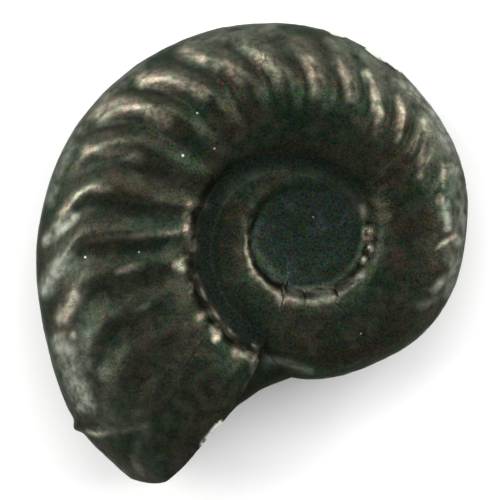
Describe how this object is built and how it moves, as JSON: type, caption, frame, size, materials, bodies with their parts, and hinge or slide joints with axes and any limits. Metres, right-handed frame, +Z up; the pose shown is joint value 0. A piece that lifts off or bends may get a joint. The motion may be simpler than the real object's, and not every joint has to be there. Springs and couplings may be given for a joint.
{
  "type": "ammonite fossil",
  "caption": "Small pyrite ammonite, a ribbed flat coil with an open navel and a broken mouth, lying on its side for display.",
  "frame": {"origin": "on the surface that the fossil lies on, below the middle of its outline", "axes": "+Z up, through the side that is seen; +Y towards the long side opposite the broken mouth; +X to the right with the mouth at the lower left"},
  "size_m": [0.0234, 0.0248, 0.008],
  "materials": {
    "pyrite": "dark greenish grey pyrite, half shiny, with pale bronze on the ribs"
  },
  "bodies": {
    "root": {"ammonite": "pyrite"}
  },
  "joints": []
}
